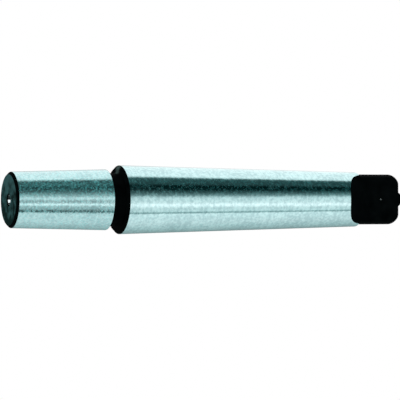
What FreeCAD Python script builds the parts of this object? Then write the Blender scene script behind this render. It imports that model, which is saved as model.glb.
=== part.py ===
import FreeCAD, Part
import math
import os

# Drill chuck arbor: a size 2 machine taper shank with a tang, and a B16 taper that the chuck sits on.
# It is one hardened steel piece, turned between centres, milled at the tang and ground on both tapers.
# It stands on its chuck end. The origin is the middle of the chuck end's face, Z runs up the axis to
# the tang, and the tang's two flats face -Y and +Y. Sizes are in millimetres and degrees.

# Chuck taper
CHUCK_GAUGE_DIAMETER = 15.733
CHUCK_GAUGE_HEIGHT = 24.0
CHUCK_TAPER_RATIO = 20.02
CHUCK_TAPER_LENGTH = 26.4
CHUCK_END_CHAMFER = 0.65

# Relief neck between the two tapers
NECK_DIAMETER = 13.8
NECK_LENGTH = 3.1
NECK_CORNER_RADIUS = 0.6

# Size 2 machine taper shank, measured from its gauge plane
SHANK_GAUGE_DIAMETER = 17.78
SHANK_TAPER_RATIO = 20.02
SHANK_OVERHANG = 5.0
SHANK_GAUGE_TO_END = 75.0
SHANK_FACE_CHAMFER = 0.7

# Tang
TANG_DIAMETER = 13.5
TANG_TURNED_LENGTH = 11.2
TANG_THICKNESS = 6.3
TANG_FLAT_LENGTH = 10.3
TANG_RUN_OUT_RADIUS = 6.0
TANG_SHOULDER_ANGLE = 45.0
TANG_CORNER_RADIUS = 1.9

# Centring boss on the tang's end
BOSS_DIAMETER = 3.6
BOSS_HEIGHT = 1.5
BOSS_FOOT_RADIUS = 0.3

# Centre holes, with the usual 60 degree seat and a drilled pilot
CENTRE_SEAT_ANGLE = 60.0
CENTRE_DRILL_POINT_ANGLE = 118.0
CHUCK_CENTRE_MOUTH_DIAMETER = 3.35
CHUCK_CENTRE_PILOT_DIAMETER = 1.6
CHUCK_CENTRE_DEPTH = 3.5
TANG_CENTRE_MOUTH_DIAMETER = 2.12
TANG_CENTRE_PILOT_DIAMETER = 1.0
TANG_CENTRE_DEPTH = 2.2

# Mark of the hardness test, a small cone pressed into the tang's front flat
DIMPLE_DIAMETER = 0.5
DIMPLE_ANGLE = 120.0
DIMPLE_FROM_TANG_END = 5.3

# Outer edges are broken by this radius
EDGE_BREAK = 0.1

# Heights worked out from the sizes above
NECK_TOP = CHUCK_TAPER_LENGTH + NECK_LENGTH
SHANK_GAUGE_PLANE = NECK_TOP + SHANK_OVERHANG
TANG_END = SHANK_GAUGE_PLANE + SHANK_GAUGE_TO_END
TANG_SHOULDER_FOOT = TANG_END - TANG_TURNED_LENGTH
FLAT_START = TANG_END - TANG_FLAT_LENGTH
TANG_RADIUS = TANG_DIAMETER / 2


def chuck_radius(height):
    """Radius of the chuck taper at a height, which grows away from the end face."""
    return (CHUCK_GAUGE_DIAMETER + (height - CHUCK_GAUGE_HEIGHT) / CHUCK_TAPER_RATIO) / 2


def shank_radius(height):
    """Radius of the shank's taper at a height, which shrinks towards the tang."""
    return (SHANK_GAUGE_DIAMETER - (height - SHANK_GAUGE_PLANE) / SHANK_TAPER_RATIO) / 2


def chuck_end_corners():
    """Outline of the chuck end and its taper, up to the relief neck."""
    return [
        (0.0, 0.0, 0.0),
        (chuck_radius(CHUCK_END_CHAMFER) - CHUCK_END_CHAMFER, 0.0, EDGE_BREAK),
        (chuck_radius(CHUCK_END_CHAMFER), CHUCK_END_CHAMFER, EDGE_BREAK),
        (chuck_radius(CHUCK_TAPER_LENGTH), CHUCK_TAPER_LENGTH, EDGE_BREAK),
    ]


def neck_corners():
    """Outline of the relief neck, with a radius in each of its two corners."""
    neck_radius = NECK_DIAMETER / 2
    return [
        (neck_radius, CHUCK_TAPER_LENGTH, NECK_CORNER_RADIUS),
        (neck_radius, NECK_TOP, NECK_CORNER_RADIUS),
    ]


def shank_corners():
    """Outline of the shank, from its chamfered front face to the shoulder at the tang."""
    face_radius = shank_radius(NECK_TOP + SHANK_FACE_CHAMFER)
    slope = math.tan(math.radians(TANG_SHOULDER_ANGLE))
    shoulder_rise = (shank_radius(TANG_SHOULDER_FOOT) - TANG_RADIUS) / slope
    shoulder_top = TANG_SHOULDER_FOOT - shoulder_rise
    return [
        (face_radius - SHANK_FACE_CHAMFER, NECK_TOP, EDGE_BREAK),
        (face_radius, NECK_TOP + SHANK_FACE_CHAMFER, EDGE_BREAK),
        (shank_radius(shoulder_top), shoulder_top, EDGE_BREAK),
    ]


def tang_corners():
    """Outline of the turned tang, with its round corner, and the centring boss on its end."""
    boss_radius = BOSS_DIAMETER / 2
    boss_top = TANG_END + BOSS_HEIGHT
    return [
        (TANG_RADIUS, TANG_SHOULDER_FOOT, EDGE_BREAK),
        (TANG_RADIUS, TANG_END, TANG_CORNER_RADIUS),
        (boss_radius, TANG_END, BOSS_FOOT_RADIUS),
        (boss_radius, boss_top, EDGE_BREAK),
        (0.0, boss_top, 0.0),
    ]


def rounded_outline(corners):
    """Closed wire in the XZ plane through (radius, height, rounding) corners.

    A corner with a rounding is replaced by a tangent arc of that radius.
    """
    points = [FreeCAD.Vector(radius, 0.0, height) for radius, height, _ in corners]
    edges = []
    leave = points[0]
    for index in range(1, len(corners)):
        corner = points[index]
        rounding = corners[index][2]
        if rounding == 0.0:
            edges.append(Part.LineSegment(leave, corner).toShape())
            leave = corner
            continue
        back = (points[index - 1] - corner).normalize()
        ahead = (points[index + 1] - corner).normalize()
        half_angle = back.getAngle(ahead) / 2
        setback = rounding / math.tan(half_angle)
        bisector = (back + ahead).normalize()
        arc_centre = corner + bisector * (rounding / math.sin(half_angle))
        arc_start = corner + back * setback
        arc_middle = arc_centre - bisector * rounding
        arc_end = corner + ahead * setback
        edges.append(Part.LineSegment(leave, arc_start).toShape())
        edges.append(Part.Arc(arc_start, arc_middle, arc_end).toShape())
        leave = arc_end
    edges.append(Part.LineSegment(leave, points[0]).toShape())
    return Part.Wire(edges)


def turned(corners):
    """Solid of revolution about Z from (radius, height, rounding) corners."""
    face = Part.Face(rounded_outline(corners))
    axis_point = FreeCAD.Vector(0.0, 0.0, 0.0)
    axis = FreeCAD.Vector(0.0, 0.0, 1.0)
    return face.revolve(axis_point, axis, 360.0)


def tang_cutter():
    """Cutter for the front flat, with the quarter round that it leaves where it runs out."""
    flat = TANG_THICKNESS / 2
    reach = flat + TANG_RUN_OUT_RADIUS + SHANK_GAUGE_DIAMETER
    half_width = SHANK_GAUGE_DIAMETER
    top = TANG_END + BOSS_HEIGHT + TANG_FLAT_LENGTH
    round_centre = FreeCAD.Vector(-half_width, -flat - TANG_RUN_OUT_RADIUS, FLAT_START)
    half_way = TANG_RUN_OUT_RADIUS * math.sqrt(0.5)
    flat_top = FreeCAD.Vector(-half_width, -flat, top)
    flat_foot = FreeCAD.Vector(-half_width, -flat, FLAT_START)
    round_middle = round_centre + FreeCAD.Vector(0.0, half_way, -half_way)
    round_foot = round_centre - FreeCAD.Vector(0.0, 0.0, TANG_RUN_OUT_RADIUS)
    outer_foot = FreeCAD.Vector(-half_width, -reach, round_foot.z)
    outer_top = FreeCAD.Vector(-half_width, -reach, top)
    outline = Part.Wire([
        Part.LineSegment(flat_top, flat_foot).toShape(),
        Part.Arc(flat_foot, round_middle, round_foot).toShape(),
        Part.LineSegment(round_foot, outer_foot).toShape(),
        Part.LineSegment(outer_foot, outer_top).toShape(),
        Part.LineSegment(outer_top, flat_top).toShape(),
    ])
    return Part.Face(outline).extrude(FreeCAD.Vector(2 * half_width, 0.0, 0.0))


def centre_hole(mouth_diameter, pilot_diameter, depth):
    """Cutter for a centre hole that opens downwards at the origin and runs up along Z."""
    mouth_radius = mouth_diameter / 2
    pilot_radius = pilot_diameter / 2
    seat_depth = (mouth_radius - pilot_radius) / math.tan(math.radians(CENTRE_SEAT_ANGLE / 2))
    point_depth = pilot_radius / math.tan(math.radians(CENTRE_DRILL_POINT_ANGLE / 2))
    return turned([
        (0.0, 0.0, 0.0),
        (mouth_radius, 0.0, 0.0),
        (pilot_radius, seat_depth, 0.0),
        (pilot_radius, depth, 0.0),
        (0.0, depth + point_depth, 0.0),
    ])


def tang_centre_hole():
    """The same cutter turned over, on the top of the tang's boss."""
    cutter = centre_hole(TANG_CENTRE_MOUTH_DIAMETER, TANG_CENTRE_PILOT_DIAMETER, TANG_CENTRE_DEPTH)
    cutter.rotate(FreeCAD.Vector(0.0, 0.0, 0.0), FreeCAD.Vector(1.0, 0.0, 0.0), 180.0)
    cutter.translate(FreeCAD.Vector(0.0, 0.0, TANG_END + BOSS_HEIGHT))
    return cutter


def hardness_dimple():
    """Cutter for the test mark, a shallow cone sunk into the front flat on the arbor's axis."""
    radius = DIMPLE_DIAMETER / 2
    depth = radius / math.tan(math.radians(DIMPLE_ANGLE / 2))
    mouth = FreeCAD.Vector(0.0, -TANG_THICKNESS / 2, TANG_END - DIMPLE_FROM_TANG_END)
    return Part.makeCone(radius, 0.0, depth, mouth, FreeCAD.Vector(0.0, 1.0, 0.0))


def chuck_arbor():
    """The whole arbor: turned blank, milled tang, centre holes and test mark."""
    blank = turned(chuck_end_corners() + neck_corners() + shank_corners() + tang_corners())
    front_cutter = tang_cutter()
    rear_cutter = front_cutter.mirror(FreeCAD.Vector(0.0, 0.0, 0.0), FreeCAD.Vector(0.0, 1.0, 0.0))
    chuck_centre = centre_hole(
        CHUCK_CENTRE_MOUTH_DIAMETER, CHUCK_CENTRE_PILOT_DIAMETER, CHUCK_CENTRE_DEPTH)
    arbor = blank
    for cutter in (front_cutter, rear_cutter, chuck_centre, tang_centre_hole(), hardness_dimple()):
        arbor = arbor.cut(cutter)
    return arbor.Solids[0]


def main():
    """Build the arbor and write it as one STEP file."""
    os.makedirs("parts", exist_ok=True)
    arbor = chuck_arbor()
    arbor.exportStep("parts/chuck_arbor.step")
    print("chuck_arbor", "valid", arbor.isValid(), "volume", round(arbor.Volume, 2),
          "height", round(arbor.BoundBox.ZLength, 3))


if __name__ == "__main__":
    main()
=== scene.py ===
"""Drill chuck arbor: the ground and blackened finishes of one turned, milled piece of steel.

The arbor stands on its chuck end, with the tang up. Lengths are in metres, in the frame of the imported
model: Z is the arbor's axis, and the tang's flats face -Y and +Y. The camera lies below the chuck end
and is rolled, so that the axis runs level across the picture with the chuck end at the left.
"""

import logging
import math
from abc import ABC, abstractmethod
from dataclasses import dataclass
from enum import Enum

import bmesh
import bpy
from mathutils import Matrix, Vector


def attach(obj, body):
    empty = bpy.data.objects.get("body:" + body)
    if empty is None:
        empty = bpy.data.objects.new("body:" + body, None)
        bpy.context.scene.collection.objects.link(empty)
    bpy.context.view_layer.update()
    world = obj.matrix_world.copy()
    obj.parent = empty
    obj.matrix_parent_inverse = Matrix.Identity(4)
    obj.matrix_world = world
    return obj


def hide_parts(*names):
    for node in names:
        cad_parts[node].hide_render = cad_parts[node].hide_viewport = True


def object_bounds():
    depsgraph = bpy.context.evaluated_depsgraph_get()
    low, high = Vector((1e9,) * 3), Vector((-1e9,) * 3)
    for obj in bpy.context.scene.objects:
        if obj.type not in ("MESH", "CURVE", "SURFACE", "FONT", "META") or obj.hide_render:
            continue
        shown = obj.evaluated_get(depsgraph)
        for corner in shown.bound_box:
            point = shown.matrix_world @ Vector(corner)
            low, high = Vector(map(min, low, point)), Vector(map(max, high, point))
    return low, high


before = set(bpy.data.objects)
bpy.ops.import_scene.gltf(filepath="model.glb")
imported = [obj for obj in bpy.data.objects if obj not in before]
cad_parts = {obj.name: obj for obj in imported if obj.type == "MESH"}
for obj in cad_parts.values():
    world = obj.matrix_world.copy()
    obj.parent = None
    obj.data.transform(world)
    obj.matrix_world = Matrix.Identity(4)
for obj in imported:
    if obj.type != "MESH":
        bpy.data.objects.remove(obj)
CAD_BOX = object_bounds()

NODE = "chuck_arbor"
BODY = "root"
MM = 0.001
WELD = 0.0001 * MM
HALF_TURN = 0.5

Socket = bpy.types.NodeSocket
Pair = tuple[float, float]
Triple = tuple[float, float, float]
Colour = tuple[float, float, float, float]
Number = Socket | float
Feed = Socket | float | Triple | Colour

log = logging.getLogger("arbor")


class NodeBench:
    """Short ways to add and feed the nodes of one material or world."""

    NOISE_MIDDLE: Pair = (0.3, 0.7)
    BEVEL_SAMPLES: int = 6

    def __init__(self, owner: bpy.types.ID) -> None:
        """Empty the owner's node tree.

        Args:
            owner: The material or world that the nodes belong to.
        """
        owner.use_nodes = True
        self.tree = owner.node_tree
        self.tree.nodes.clear()

    def feed(self, target: Socket, value: Feed) -> None:
        """Link a socket to an input, or set a plain value on it.

        Args:
            target: The input.
            value: The socket or the value.
        """
        if isinstance(value, Socket):
            self.tree.links.new(value, target)
        else:
            target.default_value = value

    def add(self, kind: str, inputs: dict[str | int, Feed] | None = None,
            **settings: str | int) -> bpy.types.Node:
        """Add a node, set its properties and feed its inputs.

        Args:
            kind: The node's type name, without the ShaderNode in front.
            inputs: A socket or a value for each input, by the input's name or number.
            settings: Properties of the node.

        Returns:
            The new node.
        """
        node = self.tree.nodes.new("ShaderNode" + kind)
        for name, value in settings.items():
            setattr(node, name, value)
        for key, value in (inputs or {}).items():
            self.feed(node.inputs[key], value)
        return node

    def math(self, operation: str, *values: Number) -> Socket:
        """Add a Math node.

        Args:
            operation: The operation's name.
            values: A socket or a number for each of its inputs.

        Returns:
            The result's socket.
        """
        return self.add("Math", dict(enumerate(values)), operation=operation).outputs[0]

    def weighted(self, *parts: tuple[Socket, float]) -> Socket:
        """Sum of some numbers, each times its weight.

        Args:
            parts: Pairs of a number's socket and its weight.

        Returns:
            The sum's socket.
        """
        total: Number = 0.0
        for value, weight in parts:
            total = self.math("MULTIPLY_ADD", value, weight, total)
        return total

    def place(self) -> Socket:
        """Place on the object, in its own coordinates."""
        return self.add("TexCoord").outputs["Object"]

    def axes(self) -> tuple[Socket, Socket, Socket]:
        """The same place as three numbers."""
        return tuple(self.add("SeparateXYZ", {"Vector": self.place()}).outputs)

    def noise(self, size: Triple, detail: float = 3.0) -> Socket:
        """Add a noise texture.

        Args:
            size: The pattern's size along X, Y and Z.
            detail: The number of finer layers.

        Returns:
            The factor's socket.
        """
        scale = tuple(1.0 / length for length in size)
        place = self.add("Mapping", {"Vector": self.place(), "Scale": scale}).outputs["Vector"]
        return self.add("TexNoise", {"Vector": place, "Scale": 1.0, "Detail": detail}).outputs["Fac"]

    def ranged(self, value: Socket, start: float, end: float, to: Pair = (0.0, 1.0),
               interpolation: str = "LINEAR") -> Socket:
        """Map one range of numbers to another, and hold the ends beyond it.

        Args:
            value: The number's socket.
            start: The number that gives the first result.
            end: The number that gives the second result, on either side of the start.
            to: The two results.
            interpolation: How the result runs from one to the other.

        Returns:
            The result's socket.
        """
        inputs = {"Value": value, "From Min": start, "From Max": end, "To Min": to[0], "To Max": to[1]}
        return self.add("MapRange", inputs, interpolation_type=interpolation).outputs["Result"]

    def spread(self, noise: Socket, to: Pair = (0.0, 1.0)) -> Socket:
        """Map the middle of a noise's range to a range of values.

        Args:
            noise: The noise's factor.
            to: The results at the lower and the upper end of that middle.

        Returns:
            The result's socket.
        """
        return self.ranged(noise, *self.NOISE_MIDDLE, to)

    def eased(self, value: Socket, start: float, end: float) -> Socket:
        """Soft step from 0 at the start to 1 at the end, which may lie on either side of it."""
        return self.ranged(value, start, end, interpolation="SMOOTHSTEP")

    def edges(self, reach: float, turn: Pair) -> Socket:
        """Find the edges, by how far rounding them over would turn the surface.

        Args:
            reach: Radius of the rounding.
            turn: Where an edge starts and where it is full, as one minus the turn's cosine.

        Returns:
            A factor's socket, 0 on the open surface and 1 on an edge.
        """
        rounded = self.add("Bevel", {"Radius": reach}, samples=self.BEVEL_SAMPLES).outputs["Normal"]
        surface = self.add("NewGeometry").outputs["Normal"]
        cosine = self.add("VectorMath", {0: rounded, 1: surface}, operation="DOT_PRODUCT").outputs["Value"]
        return self.ranged(cosine, 1.0 - turn[0], 1.0 - turn[1])

    def bump(self, height: Socket, depth: float, strength: float = 1.0,
             under: Socket | None = None) -> Socket:
        """Tilt the surface by a pattern of heights.

        Args:
            height: The pattern's socket.
            depth: How far a height of 1 stands up.
            strength: The share of the tilt that shows.
            under: The normal of another pattern that this one lies on.

        Returns:
            The normal's socket.
        """
        inputs = {"Height": height, "Distance": depth, "Strength": strength}
        if under is not None:
            inputs["Normal"] = under
        return self.add("Bump", inputs).outputs["Normal"]

    def mixed(self, factor: Socket, first: Feed, second: Feed) -> Socket:
        """Mix two colours.

        Args:
            factor: How much of the second colour there is.
            first: The colour at a factor of 0, as a socket or as numbers.
            second: The colour at a factor of 1, as a socket or as numbers.

        Returns:
            The colour's socket.
        """
        node = self.add("Mix", {"Factor": factor}, data_type="RGBA")
        colours = [socket for socket in node.inputs if socket.type == "RGBA"]
        for socket, value in zip(colours, (first, second)):
            self.feed(socket, value)
        return next(socket for socket in node.outputs if socket.type == "RGBA")

    def layered(self, factor: Socket, under: bpy.types.Node, over: bpy.types.Node) -> Socket:
        """Mix two shaders.

        Args:
            factor: How much of the second shader there is.
            under: The shader at a factor of 0.
            over: The shader at a factor of 1.

        Returns:
            The shader's socket.
        """
        inputs = {"Fac": factor, 1: under.outputs["BSDF"], 2: over.outputs["BSDF"]}
        return self.add("MixShader", inputs).outputs["Shader"]

    def show(self, surface: Socket, kind: str = "Material") -> None:
        """Join the finished surface to an output node.

        Args:
            surface: The shader's socket.
            kind: Material or World.
        """
        self.add("Output" + kind, {"Surface": surface})


@dataclass(frozen=True)
class SteelFinish(ABC):
    """A finish of the arbor, under its material's name. Each kind lays out its own surface."""

    name: str

    @abstractmethod
    def surface(self, bench: NodeBench) -> Socket:
        """Lay out the finish.

        Args:
            bench: The material's nodes.

        Returns:
            The shader's socket.
        """

    def material(self) -> bpy.types.Material:
        """Build the material.

        Returns:
            The finished material.
        """
        made = bpy.data.materials.new(self.name)
        bench = NodeBench(made)
        bench.show(self.surface(bench))
        return made


@dataclass(frozen=True)
class GroundSteel(SteelFinish):
    """Bright steel from a grinding wheel: fine marks run round the arbor and stretch its gloss.

    Speckles dull it, and flecks and clouds shade it; each has a size round the arbor and one along it.
    A thin film of oxide lies over it in spots and scatters a share of the light. The share's range runs
    below zero, so that much of the steel has no film on it.
    """

    roughness: Pair
    film: Pair
    speckle_size: Pair
    speckle_depth: float
    colour: Colour = (0.74, 0.98, 0.99, 1.0)
    shaded_colour: Colour = (0.53, 0.74, 0.76, 1.0)
    film_colour: Colour = (0.10, 0.80, 0.82, 1.0)
    anisotropy: float = 0.7
    across_marks: float = 0.25
    mark_length: float = 16.6667 * MM
    mark_pitch: float = 0.6 * MM
    mark_detail: float = 4.0
    mark_depth: float = 0.008 * MM
    fleck_size: Pair = (0.7 * MM, 0.7 * MM)
    cloud_size: Pair = (3.5 * MM, 6.0 * MM)
    fleck_share: float = 0.65
    film_speckle_share: float = 0.9
    tone_mark_share: float = 0.15
    tone_speckle_share: float = 0.2
    tone_spread: Pair = (-1.0, 2.0)

    def surface(self, bench: NodeBench) -> Socket:
        """Lay out the bare metal with the film over it.

        Args:
            bench: The material's nodes.

        Returns:
            The shader's socket.
        """
        marks = bench.noise((self.mark_length, self.mark_length, self.mark_pitch), self.mark_detail)
        speckle, fleck, cloud = (bench.noise((around, around, along)) for around, along in
                                 (self.speckle_size, self.fleck_size, self.cloud_size))
        mottle = bench.weighted((fleck, self.fleck_share), (cloud, 1.0 - self.fleck_share))
        dulled = bench.weighted((speckle, self.film_speckle_share), (cloud, 1.0 - self.film_speckle_share))
        mottle_share = 1.0 - self.tone_mark_share - self.tone_speckle_share
        tone = bench.weighted(
            (marks, self.tone_mark_share), (speckle, self.tone_speckle_share), (mottle, mottle_share))
        metal = bench.add("BsdfPrincipled", {
            "Metallic": 1.0,
            "Anisotropic": self.anisotropy,
            "Anisotropic Rotation": self.across_marks,
            "Tangent": bench.add("Tangent", direction_type="RADIAL", axis="Z").outputs["Tangent"],
            "Base Color": bench.mixed(bench.spread(tone, self.tone_spread), self.shaded_colour, self.colour),
            "Roughness": bench.spread(speckle, self.roughness),
            "Normal": bench.bump(speckle, self.speckle_depth, under=bench.bump(marks, self.mark_depth)),
        })
        oxide = bench.add("BsdfDiffuse", {"Color": self.film_colour})
        return bench.layered(bench.spread(dulled, self.film), metal, oxide)


@dataclass(frozen=True)
class BlackenedSteel(SteelFinish):
    """Steel left black from hardening: a dull, dense skin with a fine grain, rubbed thin along its edges.

    A pale spot put into the colour at the edge of the shank's front face is a painted highlight.
    """

    name: str = "blackened_steel"
    colour: Colour = (0.0005, 0.0010, 0.0011, 1.0)
    worn_colour: Colour = (0.0018, 0.0030, 0.0032, 1.0)
    rubbed_colour: Colour = (0.015, 0.022, 0.022, 1.0)
    # Pale colour of the painted highlight on the shank's front face.
    painted_highlight_colour: Colour = (0.060, 0.095, 0.088, 1.0)
    roughness: Pair = (0.36, 0.50)
    gloss: float = 0.0015
    grain_size: float = 0.18 * MM
    grain_depth: float = 0.01 * MM
    grain_strength: float = 0.4
    cloud_size: float = 3.0 * MM
    edge_reach: float = 0.22 * MM
    edge_turn: Pair = (0.02, 0.10)
    # Place, size and grain of the painted highlight: a pale spot put into the colour where the front face
    # catches light.
    painted_highlight_place: Triple = (-8.0 * MM, -0.9 * MM, 29.5 * MM)
    painted_highlight_size: float = 1.7 * MM
    painted_highlight_grain: Pair = (0.9, 2.2)

    def surface(self, bench: NodeBench) -> Socket:
        """Lay out the skin, with the rubbed edges and the painted highlight.

        Args:
            bench: The material's nodes.

        Returns:
            The shader's socket.
        """
        grain = bench.noise((self.grain_size,) * 3)
        cloud = bench.noise((self.cloud_size,) * 3)
        skin = bench.mixed(bench.spread(cloud), self.colour, self.worn_colour)
        rubbed = bench.math("MULTIPLY", bench.edges(self.edge_reach, self.edge_turn), bench.spread(grain))
        worn = bench.mixed(rubbed, skin, self.rubbed_colour)
        # Painted highlight: near one point on the shank's front face the colour turns pale, broken up by the
        # grain, where the face catches light.
        reach = bench.add("VectorMath", {0: bench.place(), 1: self.painted_highlight_place}, operation="DISTANCE")
        near = bench.ranged(reach.outputs["Value"], self.painted_highlight_size, 0.0)
        painted_highlight_share = bench.math("MULTIPLY", near, bench.spread(grain, self.painted_highlight_grain))
        return bench.add("BsdfPrincipled", {
            "Specular IOR Level": self.gloss,
            "Base Color": bench.mixed(painted_highlight_share, worn, self.painted_highlight_colour),
            "Roughness": bench.spread(cloud, self.roughness),
            "Normal": bench.bump(grain, self.grain_depth, self.grain_strength),
        }).outputs["BSDF"]


@dataclass(frozen=True)
class FacedSteel(SteelFinish):
    """The chuck end's face: dark and dull, with the rings that the facing tool left, paler on one side.

    The lean is what the patches' tint gains for each metre along X.
    """

    name: str = "faced_steel"
    colour: Colour = (0.0010, 0.013, 0.012, 1.0)
    pale_colour: Colour = (0.028, 0.085, 0.087, 1.0)
    roughness: Pair = (0.45, 0.6)
    gloss: float = 0.006
    ring_pitch: float = 0.16 * MM
    ring_depth: float = 0.004 * MM
    ring_strength: float = 0.35
    patch_size: float = 2.6 * MM
    patch_detail: float = 6.0
    patch_spread: Pair = (-0.4, 1.4)
    lean: float = -19.0

    def surface(self, bench: NodeBench) -> Socket:
        """Lay out the rings and the paler patches.

        Args:
            bench: The material's nodes.

        Returns:
            The shader's socket.
        """
        across, along, _ = bench.axes()
        squares = bench.math("MULTIPLY_ADD", across, across, bench.math("MULTIPLY", along, along))
        turns = bench.math("MULTIPLY", bench.math("SQRT", squares), 2.0 * math.pi / self.ring_pitch)
        rings = bench.math("SINE", turns)
        patches = bench.noise((self.patch_size,) * 3, self.patch_detail)
        tint = bench.math("MULTIPLY_ADD", across, self.lean, patches)
        return bench.add("BsdfPrincipled", {
            "Specular IOR Level": self.gloss,
            "Base Color": bench.mixed(bench.spread(tint, self.patch_spread), self.colour, self.pale_colour),
            "Roughness": bench.spread(patches, self.roughness),
            "Normal": bench.bump(rings, self.ring_depth, self.ring_strength),
        }).outputs["BSDF"]


@dataclass(frozen=True)
class BareSteel(SteelFinish):
    """Steel that was lapped or pressed clean of its black skin after hardening: the centre holes' seats and
    the test mark.
    """

    colour: Colour
    dull_colour: Colour
    roughness: Pair
    scuff_size: float = 0.3 * MM
    scuff_detail: float = 2.0

    def surface(self, bench: NodeBench) -> Socket:
        """Lay out the scuffed metal.

        Args:
            bench: The material's nodes.

        Returns:
            The shader's socket.
        """
        scuffs = bench.noise((self.scuff_size,) * 3, self.scuff_detail)
        return bench.add("BsdfPrincipled", {
            "Metallic": 1.0,
            "Base Color": bench.mixed(bench.spread(scuffs), self.dull_colour, self.colour),
            "Roughness": bench.spread(scuffs, self.roughness),
        }).outputs["BSDF"]


class Finish(Enum):
    """The surfaces that a maker would tell apart on the arbor, in the order of its material slots."""

    CHUCK_TAPER = 0
    SHANK_TAPER = 1
    BLACKENED = 2
    FACED = 3
    CENTRE_SEAT = 4
    TEST_MARK = 5


@dataclass(frozen=True)
class OutlinePoint:
    """A point of the turned outline, and the finish of the surface from there to the next point."""

    radius: float
    height: float
    finish: Finish


@dataclass(frozen=True)
class Corner(OutlinePoint):
    """A corner of the turned outline, and the radius that rounds it."""

    rounding: float = 0.0

    def place(self) -> Vector:
        """Radius and height as a vector."""
        return Vector((self.radius, self.height))


@dataclass(frozen=True)
class CentreHole:
    """A centre hole: a seat for a lathe centre with a black rim, and the drilled pilot below it."""

    mouth: float
    pilot: float
    depth: float
    seat_half_angle: float = math.radians(30.0)
    rim: float = 0.2 * MM
    drill_half_angle: float = math.radians(59.0)
    finishes: tuple[Finish, ...] = (Finish.BLACKENED, Finish.BLACKENED, Finish.CENTRE_SEAT, Finish.BLACKENED)

    def places(self) -> list[Pair]:
        """Outline of the hole.

        Returns:
            Radius and depth of each of its points, from the drill's point to the mouth.
        """
        slope = math.tan(self.seat_half_angle)
        return [
            (0.0, self.depth + self.pilot / 2 / math.tan(self.drill_half_angle)),
            (self.pilot / 2, self.depth),
            (self.pilot / 2, (self.mouth - self.pilot) / 2 / slope),
            (self.mouth / 2 - self.rim, self.rim / slope),
            (self.mouth / 2, 0.0),
        ]

    def from_below(self, beyond: Finish) -> list[Corner]:
        """The hole in the arbor's lower end.

        Args:
            beyond: The finish outside the mouth.

        Returns:
            Corners from the drill's point down to the mouth.
        """
        surfaces = self.finishes + (beyond,)
        return [Corner(radius, depth, finish) for (radius, depth), finish in zip(self.places(), surfaces)]

    def from_above(self, top: float) -> list[Corner]:
        """The hole in the arbor's upper end.

        Args:
            top: Height of the mouth.

        Returns:
            Corners from the mouth down to the drill's point.
        """
        places = self.places()[::-1]
        surfaces = self.finishes[::-1] + (Finish.BLACKENED,)
        return [Corner(radius, top - depth, finish) for (radius, depth), finish in zip(places, surfaces)]


def placed(name: str, shape: bmesh.types.BMesh) -> bpy.types.Object:
    """Turn a finished shape into an object of the scene.

    Args:
        name: Name of the object and its mesh.
        shape: The shape, which is freed.

    Returns:
        The object.
    """
    mesh = bpy.data.meshes.new(name)
    shape.to_mesh(mesh)
    shape.free()
    made = bpy.data.objects.new(name, mesh)
    bpy.context.scene.collection.objects.link(made)
    return made


def hide_from(piece: bpy.types.Object, rays: tuple[str, ...]) -> None:
    """Keep a piece out of some kinds of rays."""
    for kind in rays:
        setattr(piece, "visible_" + kind, False)


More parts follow.
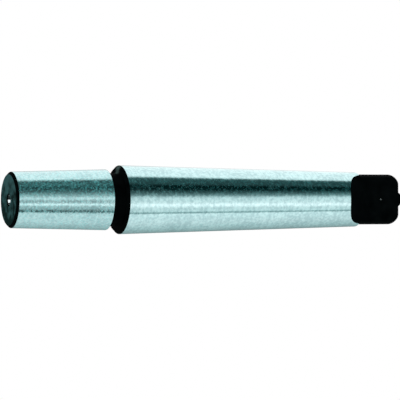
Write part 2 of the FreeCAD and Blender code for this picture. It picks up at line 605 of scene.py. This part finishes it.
@dataclass
class ChuckArbor:
    """The arbor: two ground tapers, a relief neck between them, a milled tang and two centre holes.

    The sizes are those of the solid. The numbers of steps say how finely the mesh follows it, and the
    finishes come in the order of the material slots.
    """

    chuck_gauge_diameter: float = 15.733 * MM
    chuck_gauge_height: float = 24.0 * MM
    chuck_taper_length: float = 26.4 * MM
    chuck_end_chamfer: float = 0.65 * MM
    neck_diameter: float = 13.8 * MM
    neck_length: float = 3.1 * MM
    neck_corner_radius: float = 0.6 * MM
    shank_gauge_diameter: float = 17.78 * MM
    shank_overhang: float = 5.0 * MM
    shank_gauge_to_end: float = 75.0 * MM
    shank_face_chamfer: float = 0.7 * MM
    taper_ratio: float = 20.02
    tang_diameter: float = 13.5 * MM
    tang_turned_length: float = 11.2 * MM
    tang_thickness: float = 6.3 * MM
    tang_flat_length: float = 10.3 * MM
    run_out_radius: float = 6.0 * MM
    tang_corner_radius: float = 1.9 * MM
    boss_diameter: float = 3.6 * MM
    boss_height: float = 1.5 * MM
    boss_foot_radius: float = 0.3 * MM
    chuck_centre: CentreHole = CentreHole(3.35 * MM, 1.6 * MM, 3.5 * MM)
    tang_centre: CentreHole = CentreHole(2.12 * MM, 1.0 * MM, 2.2 * MM)
    test_mark_diameter: float = 0.5 * MM
    test_mark_half_angle: float = math.radians(60.0)
    test_mark_from_end: float = 5.3 * MM
    test_mark_segments: int = 40
    test_mark_cutter_scale: float = 2.0
    edge_break: float = 0.1 * MM
    flat_edge_softening: float = 0.12 * MM
    quarter_steps: int = 64
    soft_steps: int = 5
    chord_steps: int = 24
    corner_steps: int = 6
    corner_step_length: float = 0.12 * MM
    run_out_steps: int = 30
    shoulder_steps: int = 4
    end_steps: int = 5
    halvings: int = 50
    normal_weight: int = 100
    finishes: tuple[SteelFinish, ...] = (
        GroundSteel("chuck_taper_steel", (0.03, 0.22), (-0.18, 0.26), (0.5 * MM, 0.45 * MM), 0.024 * MM),
        GroundSteel("shank_taper_steel", (0.02, 0.15), (-0.03, 0.05), (0.85 * MM, 0.75 * MM), 0.016 * MM),
        BlackenedSteel(),
        FacedSteel(),
        BareSteel("lapped_seat", (0.72, 0.78, 0.79, 1.0), (0.52, 0.60, 0.61, 1.0), (0.06, 0.11)),
        BareSteel("test_mark", (0.17, 0.19, 0.19, 1.0), (0.11, 0.13, 0.13, 1.0), (0.25, 0.35)),
    )

    def __post_init__(self) -> None:
        """Work out the heights that several features share."""
        self.neck_top = self.chuck_taper_length + self.neck_length
        self.gauge_plane = self.neck_top + self.shank_overhang
        self.tang_end = self.gauge_plane + self.shank_gauge_to_end
        self.shoulder_foot = self.tang_end - self.tang_turned_length
        self.flat_start = self.tang_end - self.tang_flat_length
        self.top = self.tang_end + self.boss_height

    def chuck_radius(self, height: float) -> float:
        """Radius of the chuck taper at a height."""
        return (self.chuck_gauge_diameter + (height - self.chuck_gauge_height) / self.taper_ratio) / 2

    def shank_radius(self, height: float) -> float:
        """Radius of the shank's taper at a height."""
        return (self.shank_gauge_diameter - (height - self.gauge_plane) / self.taper_ratio) / 2

    def chuck_end_corners(self) -> list[Corner]:
        """Chuck end with its centre hole and chamfer.

        Returns:
            Corners from the bottom of the hole to the start of the chuck taper.
        """
        chamfer = self.chuck_end_chamfer
        start = self.chuck_radius(chamfer)
        return self.chuck_centre.from_below(Finish.FACED) + [
            Corner(start - chamfer, 0.0, Finish.BLACKENED, self.edge_break),
            Corner(start, chamfer, Finish.CHUCK_TAPER, self.edge_break),
        ]

    def neck_corners(self) -> list[Corner]:
        """Relief neck and the shank's chamfered front face.

        Returns:
            Corners from the end of the chuck taper to the start of the shank's taper.
        """
        foot = self.chuck_taper_length
        neck = self.neck_diameter / 2
        chamfer = self.shank_face_chamfer
        shank_start = self.shank_radius(self.neck_top + chamfer)
        return [
            Corner(self.chuck_radius(foot), foot, Finish.BLACKENED, self.edge_break),
            Corner(neck, foot, Finish.BLACKENED, self.neck_corner_radius),
            Corner(neck, self.neck_top, Finish.BLACKENED, self.neck_corner_radius),
            Corner(shank_start - chamfer, self.neck_top, Finish.BLACKENED, self.edge_break),
            Corner(shank_start, self.neck_top + chamfer, Finish.SHANK_TAPER, self.edge_break),
        ]

    def tang_corners(self) -> list[Corner]:
        """Shoulder, turned tang, centring boss and centre hole.

        Returns:
            Corners from the end of the shank's taper to the bottom of the hole.
        """
        tang = self.tang_diameter / 2
        boss = self.boss_diameter / 2
        shoulder_top = self.shoulder_foot - (self.shank_radius(self.shoulder_foot) - tang)
        return [
            Corner(self.shank_radius(shoulder_top), shoulder_top, Finish.SHANK_TAPER, self.edge_break),
            Corner(tang, self.shoulder_foot, Finish.BLACKENED, self.edge_break),
            Corner(tang, self.tang_end, Finish.BLACKENED, self.tang_corner_radius),
            Corner(boss, self.tang_end, Finish.BLACKENED, self.boss_foot_radius),
            Corner(boss, self.top, Finish.BLACKENED, self.edge_break),
        ] + self.tang_centre.from_above(self.top)

    def rounded(self, before: Corner, corner: Corner, after: Corner) -> list[OutlinePoint]:
        """Round a corner with a run of short steps.

        Args:
            before: The corner before it on the outline.
            corner: The corner to round.
            after: The corner after it.

        Returns:
            Points along the arc. Where the finish changes there, the arc is black, because edges are
            broken before hardening.
        """
        here = corner.place()
        back = (before.place() - here).normalized()
        ahead = (after.place() - here).normalized()
        half_angle = back.angle(ahead) / 2
        middle = (back + ahead).normalized()
        centre = here + middle * (corner.rounding / math.sin(half_angle))
        start = here + back * (corner.rounding / math.tan(half_angle)) - centre
        turn = math.copysign(math.pi - 2 * half_angle, start.y * back.x - start.x * back.y)
        steps = max(self.corner_steps, round(abs(turn) * corner.rounding / self.corner_step_length))
        edge = corner.finish if corner.finish is before.finish else Finish.BLACKENED
        points = []
        for step in range(steps + 1):
            spoke = Matrix.Rotation(turn * step / steps, 2) @ start
            finish = corner.finish if step == steps else edge
            points.append(OutlinePoint(centre.x + spoke.x, centre.y + spoke.y, finish))
        return points

    def outline(self) -> list[OutlinePoint]:
        """The whole turned outline with its rounded corners.

        Returns:
            Points from the bottom of one centre hole, round the outside, to the bottom of the other.
        """
        corners = self.chuck_end_corners() + self.neck_corners() + self.tang_corners()
        points = []
        for index, corner in enumerate(corners):
            if corner.rounding == 0.0:
                points.append(corner)
            else:
                points += self.rounded(corners[index - 1], corner, corners[index + 1])
        return points

    def flat_distance(self, height: float) -> float:
        """Distance of the milled surface from the middle plane.

        Args:
            height: Height on the arbor's axis.

        Returns:
            The distance, which is endless below the run-out and above the tang's end.
        """
        half = self.tang_thickness / 2
        below = self.flat_start - height
        if below >= self.run_out_radius or height > self.tang_end + WELD:
            return math.inf
        if below > 0:
            return half + self.run_out_radius - math.sqrt(self.run_out_radius ** 2 - below ** 2)
        above = height - (self.tang_end - self.edge_break)
        if above > 0:
            return half - self.edge_break + math.sqrt(max(0.0, self.edge_break ** 2 - above ** 2))
        return half

    def run_out_heights(self) -> list[float]:
        """Heights at which the milled surface has widened by even angles on the shank's cone.

        Returns:
            Rising heights, from the first touch of the cutter to the start of the flat.
        """
        narrowest = math.asin(self.flat_distance(self.shoulder_foot) / self.shank_radius(self.shoulder_foot))
        heights = []
        for step in range(self.run_out_steps + 1):
            angle = math.pi / 2 + (narrowest - math.pi / 2) * step / self.run_out_steps
            low, high = self.flat_start - self.run_out_radius, self.shoulder_foot
            for _ in range(self.halvings):
                middle = (low + high) / 2
                if self.flat_distance(middle) > self.shank_radius(middle) * math.sin(angle):
                    low = middle
                else:
                    high = middle
            heights.append(high)
        rest = self.flat_start - self.shoulder_foot
        steps = self.shoulder_steps
        return heights + [self.shoulder_foot + rest * step / steps for step in range(1, steps + 1)]

    def stations(self) -> list[OutlinePoint]:
        """The outline with more points where the milled surfaces need them.

        Returns:
            The points in order.
        """
        points = self.outline()
        shares = [1 - step / self.end_steps for step in range(self.end_steps)]
        extra = sorted(self.run_out_heights() + [self.tang_end - self.edge_break * share for share in shares])
        made = []
        for here, after in zip(points, points[1:]):
            made.append(here)
            if min(here.radius, after.radius) < self.tang_thickness / 2:
                continue
            for height in extra:
                if here.height + WELD < height < after.height - WELD:
                    share = (height - here.height) / (after.height - here.height)
                    radius = here.radius + (after.radius - here.radius) * share
                    made.append(OutlinePoint(radius, height, here.finish))
        return made + [points[-1]]

    def quarter(self, radius: float, flat: float) -> list[Pair]:
        """First quarter of the arbor's section, from the X axis to the Y axis.

        Args:
            radius: Radius of the turned surface.
            flat: Distance of the milled surface from the middle plane.

        Returns:
            Points along the turned arc, the softened corner and the flat. Where nothing is milled,
            the points of the corner and the flat lie together on the Y axis.
        """
        milled = radius > flat
        reach = min(radius, flat)
        soft = self.flat_edge_softening if milled else 0.0
        centre_x = math.sqrt(max(0.0, (radius - soft) ** 2 - (reach - soft) ** 2)) if milled else 0.0
        centre_y = reach - soft
        tangent = math.atan2(centre_y, centre_x) if milled else math.pi / 2
        points = []
        for step in range(self.quarter_steps):
            angle = tangent * step / self.quarter_steps
            points.append((radius * math.cos(angle), radius * math.sin(angle)))
        for step in range(self.soft_steps):
            angle = tangent + (math.pi / 2 - tangent) * step / self.soft_steps
            points.append((centre_x + soft * math.cos(angle), centre_y + soft * math.sin(angle)))
        for step in range(self.chord_steps + 1):
            points.append((centre_x * (1 - step / self.chord_steps), reach))
        return points

    def ring(self, station: OutlinePoint) -> list[Vector]:
        """The whole section at a station.

        Args:
            station: Radius and height of the turned surface.

        Returns:
            Points once round the axis.
        """
        quarter = self.quarter(station.radius, self.flat_distance(station.height))
        half = quarter[:-1] + [(-x, y) for x, y in reversed(quarter[1:])]
        whole = half + [(-x, -y) for x, y in half]
        return [Vector((x, y, station.height)) for x, y in whole]

    def finish_of(self, station: OutlinePoint, after: OutlinePoint, place: int, count: int) -> Finish:
        """Finish of one face between two rings.

        Args:
            station: The lower ring's station.
            after: The upper ring's station.
            place: The face's place in the ring.
            count: Number of points in a ring.

        Returns:
            Black on what was milled, and otherwise the outline's own finish.
        """
        in_half = place % (count // 2)
        turned = in_half < self.quarter_steps or in_half >= count // 2 - self.quarter_steps
        middle = (station.height + after.height) / 2
        milled = (station.radius + after.radius) / 2 > self.flat_distance(middle)
        return Finish.BLACKENED if milled and not turned else station.finish

    def skin(self) -> bmesh.types.BMesh:
        """Skin the rings from one centre hole round to the other.

        Returns:
            The arbor's closed shape, with a material number on each face.
        """
        stations = self.stations()
        shape = bmesh.new()
        rings = [[shape.verts.new(point) for point in self.ring(station)] for station in stations]
        count = len(rings[0])
        for index, (lower, upper) in enumerate(zip(rings, rings[1:])):
            for place in range(count):
                following = (place + 1) % count
                face = shape.faces.new((lower[place], lower[following], upper[following], upper[place]))
                finish = self.finish_of(stations[index], stations[index + 1], place, count)
                face.material_index = finish.value
                face.smooth = True
        bmesh.ops.remove_doubles(shape, verts=shape.verts, dist=WELD)
        bmesh.ops.recalc_face_normals(shape, faces=shape.faces)
        return shape

    def mark_cutter(self) -> bpy.types.Object:
        """Make the cone that presses the hardness test's mark into the front flat.

        Returns:
            The cutter, larger than the mark so that its base stands clear of the flat.
        """
        radius = self.test_mark_diameter / 2
        depth = radius / math.tan(self.test_mark_half_angle)
        scale = self.test_mark_cutter_scale
        shape = bmesh.new()
        bmesh.ops.create_cone(shape, cap_ends=True, segments=self.test_mark_segments,
                              radius1=radius * scale, radius2=0.0, depth=depth * scale)
        for face in shape.faces:
            face.material_index = Finish.TEST_MARK.value
        cutter = placed("mark_cutter", shape)
        tip = -self.tang_thickness / 2 + depth
        cutter.rotation_euler = (-math.pi / 2, 0.0, 0.0)
        cutter.location = (0.0, tip - depth * scale / 2, self.tang_end - self.test_mark_from_end)
        return cutter

    def press_mark(self, piece: bpy.types.Object) -> None:
        """Press the mark and even out the shading.

        Args:
            piece: The arbor, already dressed.
        """
        cutter = self.mark_cutter()
        for slot in piece.material_slots:
            cutter.data.materials.append(slot.material)
        pressed = piece.modifiers.new("mark", "BOOLEAN")
        pressed.operation = "DIFFERENCE"
        pressed.solver = "EXACT"
        pressed.object = cutter
        even = piece.modifiers.new("even_normals", "WEIGHTED_NORMAL")
        even.weight = self.normal_weight
        even.keep_sharp = True
        bpy.context.view_layer.update()
        depsgraph = bpy.context.evaluated_depsgraph_get()
        final = bpy.data.meshes.new_from_object(piece.evaluated_get(depsgraph), depsgraph=depsgraph)
        piece.modifiers.clear()
        piece.data = final
        bpy.data.objects.remove(cutter)

    def build(self) -> bpy.types.Object:
        """Make the arbor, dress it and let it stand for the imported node.

        Returns:
            The dressed piece.
        """
        piece = placed("arbor", self.skin())
        for finish in self.finishes:
            piece.data.materials.append(finish.material())
        self.press_mark(piece)
        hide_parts(NODE)
        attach(piece, BODY)
        return piece


@dataclass(frozen=True)
class Band:
    """A stop in one row of the light tent's paper.

    The bearing runs in degrees from the -Y side towards the -X side, which is the picture's upper side.
    The level is the brightness of green and blue there, and the tint is the share of it that red has.
    """

    bearing: float
    level: float
    tint: float = 1.0

    def turn(self) -> float:
        """The bearing as a share of the whole turn that starts at the +Y side."""
        return self.bearing / 360.0 + HALF_TURN

    def colour(self) -> Colour:
        """The band's colour."""
        return (self.level * self.tint, self.level, self.level, 1.0)


@dataclass
class LightTent:
    """The paper cylinder that bright steel mirrors: pale, with one dark flag and a few seams.

    Each row of bands covers its own range of heights, given as angles above the arbor's middle. The top
    row shows in the shank, the middle row in the chuck taper, and the bottom row in the centre hole's
    seat. The flag in the top row hangs askew: above climb_from its lower edge climbs with the height, by
    up to most_climb, and the bearings of edge_below and edge_above give way on either side of it.
    """

    radius: float = 2.4
    half_height: float = 4.0
    segments: int = 96
    row_softness: float = math.radians(2.0)
    top_from: float = math.radians(20.0)
    middle_from: float = math.radians(-10.0)
    climb_from: float = math.radians(23.2)
    most_climb: float = math.radians(5.0)
    edge_below: Pair = (math.radians(-8.0), math.radians(12.0))
    edge_above: Pair = (math.radians(70.0), math.radians(30.0))
    hidden: tuple[str, ...] = ("camera", "diffuse", "transmission", "volume_scatter", "shadow")
    top_row: tuple[Band, ...] = (
        Band(-180.0, 0.1, 0.8),
        Band(-158.0, 0.34, 0.78),
        Band(-112.0, 0.61, 0.85),
        Band(-90.0, 0.78, 0.93),
        Band(-52.0, 0.94, 0.93),
        Band(-49.0, 0.44, 0.76),
        Band(-45.5, 0.42, 0.76),
        Band(-43.0, 0.82, 0.88),
        Band(-31.0, 0.8, 0.92),
        Band(-21.0, 1.13),
        Band(-16.0, 1.1),
        Band(-12.0, 0.92, 0.96),
        Band(4.0, 0.79, 0.88),
        Band(8.0, 0.62, 0.84),
        Band(14.0, 0.26, 0.68),
        Band(24.0, 0.096, 0.5),
        Band(34.0, 0.02, 0.2),
        Band(49.0, 0.009, 0.1),
        Band(54.0, 0.04, 0.4),
        Band(60.0, 0.062, 0.4),
        Band(72.0, 0.066, 0.4),
        Band(81.0, 0.115, 0.48),
        Band(88.0, 0.86, 0.9),
        Band(92.0, 1.0, 0.97),
        Band(160.0, 1.1),
        Band(180.0, 0.1, 0.8),
    )
    middle_row: tuple[Band, ...] = (
        Band(-180.0, 0.1, 0.8),
        Band(-158.0, 0.36, 0.78),
        Band(-116.0, 0.6, 0.85),
        Band(-96.0, 0.73, 0.89),
        Band(-55.0, 0.76, 0.88),
        Band(-51.5, 0.46, 0.75),
        Band(-48.0, 0.1, 0.5),
        Band(-44.0, 0.08, 0.55),
        Band(-40.5, 0.3, 0.76),
        Band(-34.0, 0.47, 0.8),
        Band(-26.0, 0.5, 0.82),
        Band(-22.0, 0.66, 0.88),
        Band(-19.5, 1.15, 0.93),
        Band(-16.5, 1.1, 0.93),
        Band(-13.5, 0.56, 0.88),
        Band(-9.0, 0.43, 0.85),
        Band(-3.0, 0.45, 0.85),
        Band(2.0, 0.8, 0.88),
        Band(6.0, 0.88, 0.88),
        Band(12.0, 0.57, 0.84),
        Band(20.0, 0.38, 0.72),
        Band(30.0, 0.16, 0.62),
        Band(42.0, 0.07, 0.45),
        Band(52.0, 0.07, 0.36),
        Band(58.0, 0.125, 0.43),
        Band(78.0, 0.09, 0.55),
        Band(83.0, 0.42, 0.75),
        Band(90.0, 0.93, 0.92),
        Band(150.0, 1.02),
        Band(180.0, 0.1, 0.8),
    )
    bottom_row: tuple[Band, ...] = (
        Band(-130.0, 0.6, 0.95),
        Band(-104.0, 0.1, 0.92),
        Band(-86.0, 0.05, 0.85),
        Band(-8.0, 0.02, 0.8),
        Band(0.0, 1.4),
        Band(64.0, 1.4),
        Band(72.0, 0.02, 0.8),
        Band(86.0, 0.05, 0.8),
        Band(104.0, 0.1, 0.92),
        Band(130.0, 0.6, 0.95),
    )

    def ramp(self, bench: NodeBench, bearing: Socket, bands: tuple[Band, ...]) -> Socket:
        """Colour ramp of one row of bands.

        Args:
            bench: The material's nodes.
            bearing: Bearing at which the row is read, in radians.
            bands: The row's bands, in the order of their bearings.

        Returns:
            The colour's socket.
        """
        turn = bench.math("ADD", bench.math("DIVIDE", bearing, 2 * math.pi), HALF_TURN)
        node = bench.add("ValToRGB", {"Fac": turn})
        stops = node.color_ramp.elements
        for band in bands[1:-1]:
            stops.new(band.turn())
        for stop, band in zip(stops, bands):
            stop.position = band.turn()
            stop.color = band.colour()
        return node.outputs["Color"]

    def askew(self, bench: NodeBench, bearing: Socket, rise: Socket) -> Socket:
        """Bearing at which the top row is read, so that the flag's lower edge climbs with its height.

        Args:
            bench: The material's nodes.
            bearing: Bearing of the place on the paper.
            rise: Height above the arbor's middle, as an angle.

        Returns:
            The bearing's socket.
        """
        height = bench.math("MAXIMUM", bench.math("SUBTRACT", rise, self.climb_from), 0.0)
        climb = bench.math("MINIMUM", height, self.most_climb)
        below, above = (bench.eased(bearing, *edge) for edge in (self.edge_below, self.edge_above))
        pull = bench.math("MULTIPLY", climb, bench.math("MULTIPLY", below, above))
        return bench.math("SUBTRACT", bearing, pull)

    def material(self) -> bpy.types.Material:
        """Paper that glows by its bearing and its height.

        Returns:
            The finished material.
        """
        made = bpy.data.materials.new("tent_paper")
        made.cycles.emission_sampling = "NONE"
        bench = NodeBench(made)
        across, along, up = bench.axes()
        upward = bench.math("MULTIPLY", across, -1.0)
        forward = bench.math("MULTIPLY", along, -1.0)
        bearing = bench.math("ARCTAN2", upward, forward)
        rise = bench.math("ARCTANGENT", bench.math("DIVIDE", up, self.radius))
        top = self.ramp(bench, self.askew(bench, bearing, rise), self.top_row)
        middle, bottom = (self.ramp(bench, bearing, row) for row in (self.middle_row, self.bottom_row))
        above_bottom, above_middle = (
            bench.eased(rise, start - self.row_softness, start + self.row_softness)
            for start in (self.middle_from, self.top_from))
        paper = bench.mixed(above_middle, bench.mixed(above_bottom, bottom, middle), top)
        bench.show(bench.add("Emission", {"Color": paper}).outputs["Emission"])
        return made

    def build(self) -> bpy.types.Object:
        """Put the tent round the arbor, where only mirrored rays see it.

        Returns:
            The tent.
        """
        shape = bmesh.new()
        bmesh.ops.create_cone(shape, cap_ends=True, segments=self.segments, radius1=self.radius,
                              radius2=self.radius, depth=2 * self.half_height)
        tent = placed("light_tent", shape)
        tent.location = (0.0, 0.0, (CAD_BOX[0].z + CAD_BOX[1].z) / 2)
        tent.data.materials.append(self.material())
        hide_from(tent, self.hidden)
        return tent


@dataclass
class Floor:
    """A pale disc under the arbor. Only its top shows, so that the camera can look up through it.

    From the clear_from share of its radius it thins out towards its rim.
    """

    radius: float = 2.3
    segments: int = 96
    drop: float = 0.2 * MM
    clear_from: float = 0.25
    colour: Colour = (0.86, 0.87, 0.87, 1.0)
    hidden: tuple[str, ...] = ("diffuse", "glossy", "transmission", "shadow")

    def material(self) -> bpy.types.Material:
        """Matt paint on the upper side.

        Returns:
            The finished material.
        """
        made = bpy.data.materials.new("pale_floor")
        bench = NodeBench(made)
        underside = bench.add("NewGeometry").outputs["Backfacing"]
        reach = bench.add("VectorMath", {0: bench.place()}, operation="LENGTH").outputs["Value"]
        rim = bench.eased(reach, self.radius * self.clear_from, self.radius)
        paint = bench.add("BsdfDiffuse", {"Color": self.colour})
        through = bench.add("BsdfTransparent")
        bench.show(bench.layered(bench.math("MAXIMUM", underside, rim), paint, through))
        return made

    def build(self) -> bpy.types.Object:
        """Lay the disc just under the arbor's end face.

        Returns:
            The floor.
        """
        shape = bmesh.new()
        bmesh.ops.create_circle(shape, cap_ends=True, segments=self.segments, radius=self.radius)
        floor = placed("floor", shape)
        floor.location = (0.0, 0.0, CAD_BOX[0].z - self.drop)
        floor.data.materials.append(self.material())
        hide_from(floor, self.hidden)
        return floor


@dataclass(frozen=True)
class SoftLamp:
    """A square lamp with a soft cover, turned towards the arbor."""

    name: str
    place: Triple
    side: float
    watts: float

    def build(self, target: Vector) -> bpy.types.Object:
        """Hang the lamp.

        Args:
            target: The point that it faces.

        Returns:
            The lamp.
        """
        light = bpy.data.lights.new(self.name, "AREA")
        light.size = self.side
        light.energy = self.watts
        lamp = bpy.data.objects.new(self.name, light)
        lamp.location = self.place
        aim = target - Vector(self.place)
        lamp.rotation_euler = aim.to_track_quat("-Z", "Y").to_euler()
        hide_from(lamp, ("glossy",))
        bpy.context.scene.collection.objects.link(lamp)
        return lamp


@dataclass
class Studio:
    """Plain soft light: an even sky, two lamps, the floor and the tent."""

    sky_level: float = 0.8
    sky_colour: Colour = (1.0, 1.0, 1.0, 1.0)
    lamps: tuple[SoftLamp, ...] = (
        SoftLamp("key_lamp", (-0.9, -0.9, 1.3), 0.7, 6.0),
        SoftLamp("end_lamp", (-0.9, -0.4, -0.9), 0.5, 1.5),
    )

    def sky(self) -> None:
        """Set up the sky: white behind the arbor and in its gloss, and an even level on what is matt."""
        world = bpy.data.worlds.new("sky")
        bpy.context.scene.world = world
        bench = NodeBench(world)
        ray = bench.add("LightPath")
        seen = bench.math("MAXIMUM", ray.outputs["Is Camera Ray"], ray.outputs["Is Glossy Ray"])
        shown = bench.math("MAXIMUM", seen, ray.outputs["Is Transmission Ray"])
        level = bench.ranged(shown, 0.0, 1.0, (self.sky_level, 1.0))
        background = bench.add("Background", {"Color": self.sky_colour, "Strength": level})
        bench.show(background.outputs["Background"], "World")

    def build(self) -> None:
        """Set up the light and the stage."""
        bpy.context.scene.view_settings.view_transform = "Standard"
        self.sky()
        middle = (CAD_BOX[0] + CAD_BOX[1]) / 2
        for lamp in self.lamps:
            lamp.build(middle)
        Floor().build()
        LightTent().build()


@dataclass
class PhotoCamera:
    """The photograph's camera: in front of the arbor, below its chuck end, rolled to lay the axis level.

    The lean is how far it looks up from square on, and the tilt is the small rest of its roll. The
    picture's middle lies chuck_end_left from the chuck end, and the axis lies axis_drop below it.
    """

    lean: float = math.radians(21.44)
    tilt: float = math.radians(-0.083)
    distance: float = 0.7226
    chuck_end_left: float = 0.04934
    axis_drop: float = -0.00009
    frame_width: float = 400.0
    focal_pixels: float = 2805.5
    sensor: float = 36.0
    nearest: float = 0.05
    farthest: float = 20.0

    def build(self) -> bpy.types.Object:
        """Place the camera and make it the scene's own.

        Returns:
            The camera.
        """
        along = Vector((0.0, -math.sin(self.lean), math.cos(self.lean)))
        ahead = Vector((0.0, math.cos(self.lean), math.sin(self.lean)))
        down = Vector((1.0, 0.0, 0.0))
        place = along * self.chuck_end_left - ahead * self.distance - down * self.axis_drop
        right = along * math.cos(self.tilt) - down * math.sin(self.tilt)
        up = -(along * math.sin(self.tilt) + down * math.cos(self.tilt))
        data = bpy.data.cameras.new("photo_camera")
        data.sensor_width = self.sensor
        data.lens = self.sensor * self.focal_pixels / self.frame_width
        data.clip_start = self.nearest
        data.clip_end = self.farthest
        camera = bpy.data.objects.new("photo_camera", data)
        bpy.context.scene.collection.objects.link(camera)
        turned = Matrix((right, up, -ahead)).transposed().to_4x4()
        camera.matrix_world = Matrix.Translation(place) @ turned
        bpy.context.scene.camera = camera
        return camera


def main() -> None:
    """Build the arbor, the studio and the camera in that order."""
    logging.basicConfig(level=logging.INFO, format="%(name)s: %(message)s")
    piece = ChuckArbor().build()
    log.info("%s: %d faces, stands for %s", piece.name, len(piece.data.polygons), NODE)
    Studio().build()
    log.info("studio: sky, lamps, floor and tent")
    camera = PhotoCamera().build()
    log.info("%s: lens %.1f mm", camera.name, camera.data.lens)


if __name__ == "__main__":
    main()
